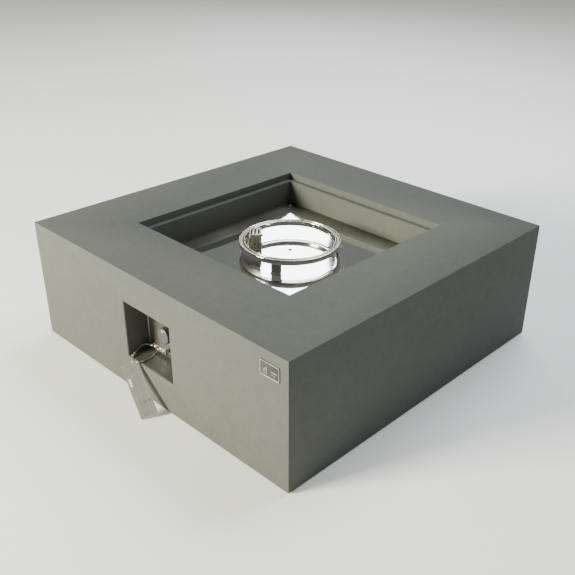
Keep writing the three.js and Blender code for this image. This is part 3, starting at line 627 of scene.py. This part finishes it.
def makeEyelet(spec, plate):
    # a rolled rim round the plate's hole
    eyelet = spinProfile(spec["outline"], spec["steps"], "eyelet")
    turn = Matrix(ratingAxes(plate)).transposed().to_4x4()
    hang = Matrix.Translation(Vector(plate["corner"]) * mm) @ turn
    placeBy(eyelet, hang @ spotAt(-plate["holeIn"], -plate["holeIn"], 0))
    return finishPiece(eyelet, "ratingPlateEyelet", "brightSteel", "bright_steel")


def makeLanyard(spec):
    wire = smoothTube("lanyardWire", spec["route"], spec["radius"], spec["rounds"])
    wire.data.materials.append(finishes["wireRope"])
    sleeve = makeSleeve(lanyardSleeve, spec["route"])
    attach(wire, "table")
    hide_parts("lanyard_wire")
    eyelet = makeEyelet(ratingPlateEyelet, ratingPlate)


cadNodes["rating_plate"].material_slots[0].material = ratingFinish(ratingPlate)
makeLanyard(lanyard)
print("rating plate and lanyard made")


concreteTable = {
    "half": 457.0, "low": 3.0, "top": 323.0, "wall": 18.0, "slab": 26.0, "tub": 275.0, "tubLow": 195.7,
    "opening": 272.5, "lip": 18.5, "well": 257.0, "nicheHalf": 87.0, "nicheLow": 90.5, "nicheHigh": 241.5,
    "block": 90.0, "blockHigh": 43.0, "blockReach": 4.0, "footInX": 70.0, "footInY": 18.0,
    "socket": 4.3, "socketMiddle": 10.0, "socketDeep": 21.0, "soft": 2.0,
    "over": 5.0,  # how far a cutter passes the face it cuts
}
rubberFoot = {
    "steps": 32,
    "outline": [(0, 0.2), (9.5, 0.2), (11.6, 0.9), (12, 1.9), (11.4, 2.7), (4, 2.7), (4, 15.6), (3.2, 17),
                (0, 17)],
}


def makeConcreteTable(spec):
    h, low, top, over = spec["half"], spec["low"], spec["top"], spec["over"]
    inner, under = h - spec["wall"], top - spec["slab"]
    piece = box(-h, h, -h, h, low, top)
    cutAway(piece, box(-inner, inner, -inner, inner, low - 2 * over, under))
    tub = spec["tub"]
    addOn(piece, box(-tub, tub, -tub, tub, spec["tubLow"], under + over))
    for sx in (-1, 1):
        for sy in (-1, 1):
            # a block in each corner, with a socket for the foot's stem
            xs = sorted((sx * (inner - spec["block"]), sx * (inner + spec["blockReach"])))
            ys = sorted((sy * (inner - spec["block"] / 2), sy * (inner + spec["blockReach"])))
            addOn(piece, box(*xs, *ys, low, spec["blockHigh"]))
            spot = (sx * (h - spec["footInX"]), sy * (h - spec["footInY"]), spec["socketMiddle"])
            cutAway(piece, addRound(spot, spec["socket"], spec["socketDeep"], 24))
    half, well, niche = spec["opening"], spec["well"], spec["nicheHalf"]
    cutAway(piece, box(-half, half, -half, half, top - spec["lip"], top + over))
    cutAway(piece, box(-well, well, -well, well, 0, top))
    cutAway(piece, box(-niche, niche, -h - over, -inner + over, spec["nicheLow"], spec["nicheHigh"]))
    softenEdges(piece, spec["soft"], 3)
    finishPiece(piece, "concreteTable", "concrete", "concrete", stands=["concrete_body"], angle=30)


def makeFeet(spec, table):
    x, y = table["half"] - table["footInX"], table["half"] - table["footInY"]
    foot = spinProfile(spec["outline"], spec["steps"], "foot")
    for number, spot in enumerate(((-x, -y, 0), (-x, y, 0), (x, -y, 0), (x, y, 0)), 1):
        copied = copyPiece(foot, spotAt(*spot))
        finishPiece(copied, f"rubberFoot{number}", "blackRubber", "black_rubber", stands=[f"foot_{number}"])
    dropPiece(foot)


makeConcreteTable(concreteTable)
makeFeet(rubberFoot, concreteTable)
print("concrete table and feet made")


# the polished plate is flat in the middle, with corners that curl up a little
polishedPlate = {
    "half": 178.0, "low": 238.3, "base": 244.5, "curl": 1.0e-9, "sheet": 1.5, "skirt": 12.0, "steps": 180,
    "rings": (0, 4, 10, 20, 35, 50, 70, 90, 110, 130, 150, 170, 190, 215, 240, 262),
    "holes": ((-8.0, 8.0, 4.0), (-114.14, -48.45, 7.5), (-84.5, -43.5, 12.0)),  # drain, riser and pilot lines
    "cutMiddle": 247.0, "cutDeep": 30.0,
}
drainGrommet = {
    "steps": 32,
    "outline": [(1.6, -1.8), (3.7, -1.8), (3.7, 0.15), (5.1, 0.15), (5.2, 0.6), (4.6, 1.0), (2.6, 0.9),
                (1.8, 0.4)],
}


def makePolishedPlate(spec):
    half = spec["half"] * mm
    outline = [(r, spec["base"] + spec["curl"] * r ** 4) for r in spec["rings"]]
    plate = spinProfile(outline, spec["steps"], "plate")
    bpy.ops.object.mode_set(mode="EDIT")
    for direction in ((1, 0, 0), (-1, 0, 0), (0, 1, 0), (0, -1, 0)):
        bpy.ops.mesh.select_all(action="SELECT")
        bpy.ops.mesh.bisect(plane_co=Vector(direction) * half, plane_no=direction, clear_outer=True)
    leaveEdit()

    def onRim(point):
        return max(abs(point.x), abs(point.y)) > half - 1e-5

    pickEdges(plate, lambda a, b: onRim(a) and onRim(b))
    bpy.ops.mesh.extrude_region_move(TRANSFORM_OT_translate={"value": (0, 0, -spec["skirt"] * mm)})
    bpy.ops.mesh.select_all(action="SELECT")
    bpy.ops.mesh.bisect(plane_co=(0, 0, spec["low"] * mm), plane_no=(0, 0, -1), clear_outer=True)
    bpy.ops.mesh.select_all(action="SELECT")
    bpy.ops.mesh.normals_make_consistent(inside=False)
    leaveEdit()
    if sum(face.normal.z * face.area for face in plate.data.polygons) < 0:
        # an open sheet can come out facing down
        makeActive(plate)
        bpy.ops.object.mode_set(mode="EDIT")
        bpy.ops.mesh.select_all(action="SELECT")
        bpy.ops.mesh.flip_normals()
        leaveEdit()
    useModifier(plate, "SOLIDIFY", thickness=spec["sheet"] * mm, offset=-1)
    for x, y, radius in spec["holes"]:
        cutAway(plate, addRound((x, y, spec["cutMiddle"]), radius, spec["cutDeep"], 40))
    finishPiece(plate, "polishedPlate", "mirrorSteel", "mirror_steel", stands=["base_plate"], angle=30)


def makeDrainGrommet(spec, plate):
    grommet = spinProfile(spec["outline"], spec["steps"], "grommet")
    x, y, radius = plate["holes"][0]
    placeBy(grommet, spotAt(x, y, plate["base"]))
    finishPiece(grommet, "drainGrommet", "blackRubber", "black_rubber")


burnerRing = {
    "inner": 116.5, "outer": 131.5, "low": 268.05, "top": 281.05, "rim": 1.6, "dip": 2.3, "soft": 0.9,
    "ease": 0.25, "steps": 160, "ports": 40, "portHigh": 1.1, "portDeep": 1.3, "portIn": 0.3,
}


def makeBurnerRing(spec):
    # two rolled rims with a sunk channel between them, and gas ports round the inside
    a, b, low, top, rim = spec["inner"], spec["outer"], spec["low"], spec["top"], spec["rim"]
    soft, ease, floor = spec["soft"], spec["ease"], top - spec["dip"]
    middle = (low + floor) / 2
    outline = [(a + soft, low), (b - soft, low), (b - ease, low + ease), (b, low + soft), (b, top - rim - 1)]
    outline += arc(b - rim, top - rim, rim, 0, 180, 10)
    outline += [(b - 2 * rim - 0.15, floor + 0.4), (b - 2 * rim - soft, floor)]
    outline += [(a + 2 * rim + soft, floor), (a + 2 * rim + 0.15, floor + 0.4)]
    outline += arc(a + rim, top - rim, rim, 0, 180, 10)
    outline += [(a, middle + spec["portHigh"]), (a, middle - spec["portHigh"])]
    outline += [(a, low + soft), (a + ease, low + ease)]
    ring = spinProfile(outline, spec["steps"], "ring")
    every = spec["steps"] // spec["ports"]

    def isPort(face):
        across = math.hypot(face.center.x, face.center.y)
        if across > (a + 0.1) * mm or abs(face.center.z - middle * mm) > 0.2 * mm:
            return False
        turn = math.degrees(math.atan2(face.center.y, face.center.x)) % 360
        return int(turn / 360 * spec["steps"]) % every == 1

    pickFaces(ring, isPort)
    bpy.ops.mesh.inset(thickness=spec["portIn"] * mm, depth=0, use_individual=True)
    bpy.ops.mesh.extrude_faces_move(TRANSFORM_OT_shrink_fatten={"value": -spec["portDeep"] * mm})
    leaveEdit()
    finishPiece(ring, "burnerRing", "ringSteel", "burner_steel", stands=["ring_burner"])


ringTab = {"angles": (-60, 60, 180), "wide": 26.0, "sheet": 1.5, "inner": 117.5, "web": 129.0, "toe": 138.0,
           "low": 245.1, "high": 267.75, "bend": 1.2, "soft": 0.3}


def makeRingTabs(spec):
    # a strip bent down from under the ring and out along the plate
    web, bend, half = spec["web"], spec["bend"], spec["sheet"] / 2
    low, high = spec["low"] + half, spec["high"] - half
    line = [(spec["inner"], high), (web - bend, high), (web - 0.3, high - 0.4), (web, high - bend),
            (web, low + bend), (web + 0.3, low + 0.4), (web + bend, low), (spec["toe"], low)]
    tab = drawLine([(x * mm, -spec["wide"] / 2 * mm, z * mm) for x, z in line], "tab")
    bpy.ops.mesh.select_all(action="SELECT")
    bpy.ops.mesh.extrude_region_move(TRANSFORM_OT_translate={"value": (0, spec["wide"] * mm, 0)})
    leaveEdit()
    useModifier(tab, "SOLIDIFY", thickness=spec["sheet"] * mm, offset=0)
    cleanMesh(tab)
    softenEdges(tab, spec["soft"])
    for number, angle in enumerate(spec["angles"], 1):
        copied = copyPiece(tab, Matrix.Rotation(math.radians(angle), 4, "Z"))
        finishPiece(copied, f"ringTab{number}", "burnerSteel", "burner_steel", stands=[f"ring_leg_{number}"])
    dropPiece(tab)


pilotShieldPlate = {"from": -125.0, "to": -80.0, "radius": 126.6, "heights": (245.1, 248.0, 265.0, 267.7),
                    "sheet": 1.2, "steps": 24, "soft": 0.25}


def makePilotShield(spec):
    # a curved sheet; the spin sweeps clockwise from its far end
    start, span = math.radians(spec["to"]), math.radians(spec["to"] - spec["from"])
    r = spec["radius"] * mm
    shield = drawLine([(r * math.cos(start), r * math.sin(start), z * mm) for z in spec["heights"]], "shield")
    bpy.ops.mesh.select_all(action="SELECT")
    bpy.ops.mesh.spin(steps=spec["steps"], angle=span, center=(0, 0, 0), axis=(0, 0, 1))
    bpy.ops.mesh.select_all(action="SELECT")
    bpy.ops.mesh.normals_make_consistent(inside=False)
    leaveEdit()
    useModifier(shield, "SOLIDIFY", thickness=spec["sheet"] * mm, offset=0)
    cleanMesh(shield)
    softenEdges(shield, spec["soft"])
    finishPiece(shield, "pilotShieldPlate", "cageSteel", "burner_steel", stands=["pilot_shield"])


pilotCageShell = {
    "centre": (-84.5, -43.5), "turn": 45, "wide": 31.0, "deep": 46.0, "low": 245.04, "lift": 0.2, "tall": 44.0,
    "backCut": 10.0, "frontCut": 3.0, "sheet": 1.0, "soft": 0.2,
    "hole": 2.5, "columns": (7.0, 16.0, 25.0), "rows": (7.0, 17.5, 28.0),
    "through": 2,  # how many columns go through both sides
    "slotHalf": 1.6, "slotIn": 6.0, "endHoleAt": 11.0, "endRows": (-6.0, 4.0),
    "sensorHole": 2.8, "sensorDown": 7.0,
}
sparkCeramic = {
    "at": (2.0, 9.5, 0.0), "steps": 24,
    "outline": [(0, 4), (3.2, 4), (3.2, 6), (2.5, 6.5), (2.5, 9), (3, 9.5), (3, 10.5), (2.5, 11), (2.5, 13.5),
                (3, 14), (3, 15), (2.5, 15.5), (2.2, 19), (0.9, 20), (0.7, 28), (0, 28.4)],
}
flameSensorRod = {
    "at": (0.0, 0.0, 33.0), "steps": 24,
    "outline": [(0, -6), (1.6, -5.6), (2.2, -4.4), (2.4, -3), (2.4, 9), (2.1, 9.6), (2.1, 12), (2.4, 12.6),
                (2.4, 20.5), (0, 20.5)],
}


def cagePlace(spec):
    return spotAt(*spec["centre"], spec["low"]) @ Matrix.Rotation(math.radians(spec["turn"]), 4, "Z")


def makePilotCage(spec):
    # a folded box, open below, with cut corners, rows of holes in its sides and slots in its top
    hw, hd, tall = spec["wide"] / 2, spec["deep"] / 2, spec["tall"]
    cage = box(-hw, hw, -hd, hd, spec["lift"], tall)
    for side, cut in ((1, spec["backCut"]), (-1, spec["frontCut"])):
        pickEdges(cage, lambda a, b: a.x < -0.01 and b.x < -0.01 and abs(a.z - b.z) > 0.01 and a.y * side > 0)
        bpy.ops.mesh.bevel(offset=cut * mm, segments=1)
        leaveEdit()
    pickFaces(cage, lambda face: face.normal.z < -0.9)
    bpy.ops.mesh.delete(type="FACE")
    leaveEdit()
    useModifier(cage, "SOLIDIFY", thickness=spec["sheet"] * mm, offset=-1)
    cutters = []
    for number, column in enumerate(spec["columns"]):
        x = hw - column
        start, end = -hd - 3, (hd if number < spec["through"] else -hd) + 3
        for z in spec["rows"]:
            cutters.append(addRound((x, (start + end) / 2, z), spec["hole"], end - start, 20, "Y"))
        inset, half = spec["slotIn"], spec["slotHalf"]
        cutters.append(box(x - half, x + half, -hd + inset, hd - inset, tall - 3, tall + 2, 0.6))
    for side in (-1, 1):
        for row in spec["endRows"]:
            cutters.append(addRound((0, side * spec["endHoleAt"], tall / 2 + row), spec["hole"], 50, 20, "X"))
    cutters.append(addRound((hw, 0, tall - spec["sensorDown"]), spec["sensorHole"], 6, 20, "X"))
    for cutter in cutters:
        cutAway(cage, cutter)
    softenEdges(cage, spec["soft"])
    placeBy(cage, cagePlace(spec))
    finishPiece(cage, "pilotCageShell", "cageSteel", "burner_steel", stands=["pilot_cage"])


def makePilotParts(spark, sensor, place):
    ceramic = spinProfile(spark["outline"], spark["steps"], "ceramic")
    placeBy(ceramic, place @ spotAt(*spark["at"]))
    finishPiece(ceramic, "sparkCeramic", "ceramic", "ceramic", stands=["spark_electrode"])
    rod = spinProfile(sensor["outline"], sensor["steps"], "rod")
    placeBy(rod, place @ spotAt(*sensor["at"]) @ Matrix.Rotation(math.pi / 2, 4, "Y"))
    finishPiece(rod, "flameSensorRod", "heatSteel", "dark_steel", stands=["flame_sensor"])


makePolishedPlate(polishedPlate)
makeDrainGrommet(drainGrommet, polishedPlate)
makeBurnerRing(burnerRing)
makeRingTabs(ringTab)
makePilotShield(pilotShieldPlate)
makePilotCage(pilotCageShell)
makePilotParts(sparkCeramic, flameSensorRod, cagePlace(pilotCageShell))
print("burner made")


# screw heads: their size, the places of their undersides and how far each is turned
panScrew = {"radius": 5.0, "tall": 2.7, "turns": (0.5, 1.0, 1.5, 2.0),
            "spots": [(-235, -235, 238.3), (-235, 235, 238.3), (235, -235, 238.3), (235, 235, 238.3)]}
panelScrew = {"radius": 3.4, "tall": 1.9, "turns": (0.7, 1.4, 2.1, 2.8),
              "spots": [(-78.9, -392.3, 98.6), (-78.9, -392.3, 233.4), (78.9, -392.3, 98.6),
                        (78.9, -392.3, 233.4)]}
barScrew = {"radius": 4.0, "tall": 2.2, "turns": (1.4, 2.4), "spots": [(-49, -405.4, 110), (-17, -405.4, 110)]}
upward = Matrix.Identity(4)
towardFront = Matrix.Rotation(math.pi / 2, 4, "X")


def makeScrews(spec, name, stands, facing):
    # a domed head with a cross recess, its underside at z = 0, copied to each place
    radius, tall = spec["radius"], spec["tall"]
    head = spinProfile([(0, 0), (radius * 0.96, 0), (radius, tall * 0.18), (radius * 0.95, tall * 0.5),
                        (radius * 0.78, tall * 0.8), (radius * 0.5, tall * 0.95), (0, tall)], 40, name)
    arm, thin = radius * 0.52, radius * 0.12
    cutAway(head, box(-arm, arm, -thin, thin, tall * 0.45, tall + 1))
    cutAway(head, box(-thin, thin, -arm, arm, tall * 0.45, tall + 1))
    for number, (spot, turn) in enumerate(zip(spec["spots"], spec["turns"]), 1):
        screw = copyPiece(head, spotAt(*spot) @ facing @ Matrix.Rotation(turn, 4, "Z"))
        finishPiece(screw, f"{name}{number}", "brightSteel", "screw_steel", stands=[f"{stands}_{number}"])
    dropPiece(head)


makeScrews(panScrew, "panScrew", "pan_screw", upward)
makeScrews(panelScrew, "panelScrew", "panel_screw", towardFront)
print("screws made")


knob = {"at": (4.0, -397.0, 166.0), "radius": 21.0, "tall": 22.0, "flutes": 18, "fluteSteps": 6,
        "gripIn": 0.15, "gripDeep": 0.6, "pointerHalf": 0.9, "pointerSoft": 0.25}
knobTrim = {"at": (4.0, -392.3, 166.0), "steps": 64,
            "outline": [(9, 0), (24.4, 0), (25, 0.35), (24.6, 0.9), (23.8, 1.0), (22.5, 0.75), (9, 0.75)]}
igniterTrim = {"at": (22.0, -392.3, 120.0), "steps": 48,
               "outline": [(9.3, 0), (12, 0), (12, 1.9), (11.4, 2.8), (9.9, 3), (9.3, 2.6)]}
igniterPush = {"at": (22.0, -391.0, 120.0), "steps": 48,
               "outline": [(0, -14), (4, -14), (4, 0), (8.8, 0), (8.8, 22.6), (8.4, 24), (7.4, 24.8), (6, 25),
                           (3.5, 24.4), (0, 24.1)]}


def makeKnob(spec):
    r, tall, steps = spec["radius"], spec["tall"], spec["flutes"] * spec["fluteSteps"]
    cap = spinProfile([(0, 0), (r - 1.5, 0), (r, 0.8), (r, 3.4), (r - 0.8, 4.2), (r - 0.9, tall - 3.4),
                       (r - 1.3, tall - 1.6), (r - 2.6, tall - 0.5), (r - 4.2, tall), (r - 7, tall - 0.5),
                       (0, tall - 0.7)], steps, "cap")
    gripMiddle = (4.2 + tall - 3.4) / 2 * mm

    def isGrip(face):
        x, y, z = face.center
        turn = math.degrees(math.atan2(y, x)) % 360
        onSide = abs(face.normal.z) < 0.3 and abs(z - gripMiddle) < mm and math.hypot(x, y) > (r - 2) * mm
        return onSide and int(turn / 360 * steps) % spec["fluteSteps"] < 3

    pickFaces(cap, isGrip)
    bpy.ops.mesh.inset(thickness=spec["gripIn"] * mm, depth=-spec["gripDeep"] * mm)
    leaveEdit()
    placeBy(cap, spotAt(*spec["at"]) @ towardFront)
    finishPiece(cap, "knobCap", "knobPlastic", "black_plastic", body="knob", stands=["control_knob"])
    wide = spec["pointerHalf"]
    pointer = box(-wide, wide, r * 0.45, r - 4.8, tall - 1, tall - 0.15, spec["pointerSoft"])
    placeBy(pointer, spotAt(*spec["at"]) @ towardFront)
    finishPiece(pointer, "knobPointer", "printWhite", "black_plastic", body="knob")


def makeTurned(spec, name, finish, slotName, **riding):
    # a turned part that faces the front
    part = spinProfile(spec["outline"], spec["steps"], name)
    placeBy(part, spotAt(*spec["at"]) @ towardFront)
    finishPiece(part, name, finish, slotName, **riding)


# the folded edge of the niche's side, lighter than the panel beside it
nicheSeam = {"x": (-84.7, -82.7), "y": (-396.4, -392.1), "z": (92.8, 239.2), "soft": 0.5}
anchorBar = {"x": (-58.0, -8.0), "y": (-405.3, -392.3), "z": (102.5, 117.5), "corner": 3.2, "soft": 0.6,
             "slotX": (-42.0, -24.0), "slotZ": (106.0, 114.0), "slotDeep": 5.0, "slotCorner": 3.8}


def makeNicheSeam(spec):
    seam = box(*spec["x"], *spec["y"], *spec["z"], spec["soft"], 3)
    finishPiece(seam, "nicheSeam", "galvanised", "niche_steel")


def makeAnchorBar(spec):
    bar = box(*spec["x"], *spec["y"], *spec["z"])
    roundCorners(bar, spec["corner"], 6)
    front = spec["y"][0]
    slot = box(*spec["slotX"], front - 2, front + spec["slotDeep"], *spec["slotZ"])
    roundCorners(slot, spec["slotCorner"], 6)
    cutAway(bar, slot)
    softenEdges(bar, spec["soft"], 3)
    finishPiece(bar, "anchorBar", "brightSteel", "bright_steel", stands=["anchor_bar"])


makeKnob(knob)
makeTurned(knobTrim, "knobTrim", "brightSteel", "bright_steel", stands=["knob_bezel"])
makeTurned(igniterTrim, "igniterTrim", "blackPlastic", "black_plastic", stands=["igniter_bezel"])
makeTurned(igniterPush, "igniterPush", "blackPlastic", "black_plastic", body="igniter_push",
           stands=["igniter_button"])
makeNicheSeam(nicheSeam)
makeAnchorBar(anchorBar)
makeScrews(barScrew, "barScrew", "bar_screw", towardFront)
print("controls made")


# frames are (outer inset, inner inset, rise); marks are (left, right, bottom, top, rise): three thin strips on a
# line, and short bars beside them
badge = {
    "centre": (406.5, 0.0, 280.5), "wide": 55.0, "tall": 35.0, "back": -457.3, "thick": 1.5, "corner": 2.2,
    "soft": 0.3, "sink": 0.05,
    "frames": ((0.7, 1.5, 0.5), (2.1, 2.6, 0.45)), "frameCorners": (1.8, 1.4),
    "marks": [(-17.5, -16, -7, -2, 0.35), (-13.3, -11.8, -7, 1.5, 0.35), (-9.1, -7.6, -7, 5, 0.35),
              (-18.5, -6.5, -10.2, -9.4, 0.35), (4, 20, -1.5, 0, 0.3), (4, 17, -7, -6.3, 0.3)],
    "markSoft": 0.1,
}


def roundedSlab(wide, tall, thick, corner, back):
    # stands on the front wall, its corners rounded, centred on x = z = 0
    slab = box(-wide / 2, wide / 2, back - thick, back, -tall / 2, tall / 2)
    roundCorners(slab, corner, 5)
    return slab


def makeBadge(spec):
    wide, tall = spec["wide"], spec["tall"]
    plate = roundedSlab(wide, tall, spec["thick"], spec["corner"], spec["back"])
    softenEdges(plate, spec["soft"])
    front = spec["back"] - spec["thick"] + spec["sink"]
    outerCorner, innerCorner = spec["frameCorners"]
    parts = []
    for outer, inner, rise in spec["frames"]:
        rim = roundedSlab(wide - 2 * outer, tall - 2 * outer, rise, outerCorner, front)
        cutAway(rim, roundedSlab(wide - 2 * inner, tall - 2 * inner, 6, innerCorner, front + 3))
        parts.append(rim)
    for left, right, bottom, top, rise in spec["marks"]:
        parts.append(box(left, right, front - rise, front, bottom, top, spec["markSoft"]))
    marks = joinPieces(parts)
    for piece in (plate, marks):
        placeBy(piece, spotAt(*spec["centre"]))
    finishPiece(plate, "badgePlate", "badgeBlack", "badge_black", stands=["badge_plate"])
    finishPiece(marks, "badgeMarks", "brightSteel", "bright_steel", stands=["badge_border"])


makeBadge(badge)
print("badge made")


# small edges for the pieces that stay as they are
smallEdges = {
    "nodes": ("burner_pan", "niche_box", "control_panel", "gas_valve", "gas_inlet_fitting", "gas_outlet_nut",
              "igniter_body", "lanyard_ball", "gas_jet"),
    "width": 0.35, "segments": 2, "angle": 40,
}
for nodeName in smallEdges["nodes"]:
    softened = cadNodes[nodeName].modifiers.new("edges", "BEVEL")
    softened.width = smallEdges["width"] * mm
    softened.segments = smallEdges["segments"]
    softened.limit_method = "ANGLE"
    softened.angle_limit = math.radians(smallEdges["angle"])
print("small edges softened")


floorLook = {"size": 40, "patch": 0.8, "tones": ((0.9, 0.905, 0.91), (0.93, 0.935, 0.94)), "rough": 0.8,
             "glow": (1.0, 1.0, 1.0), "glowPower": 0.14}


def makeFloor(spec):
    clearSelection()
    bpy.ops.mesh.primitive_plane_add(size=spec["size"], location=(0, 0, 0))
    floor = bpy.context.object
    floor.name = "floor"
    s = Shade("floorPale")
    tone = s.noise(spec["patch"], 2, 0.5)
    floor.data.materials.append(s.finish(colour=s.mix(tone, *spec["tones"]), rough=spec["rough"],
                                         glow=spec["glow"], glowPower=spec["glowPower"]))


makeFloor(floorLook)
print("floor made")
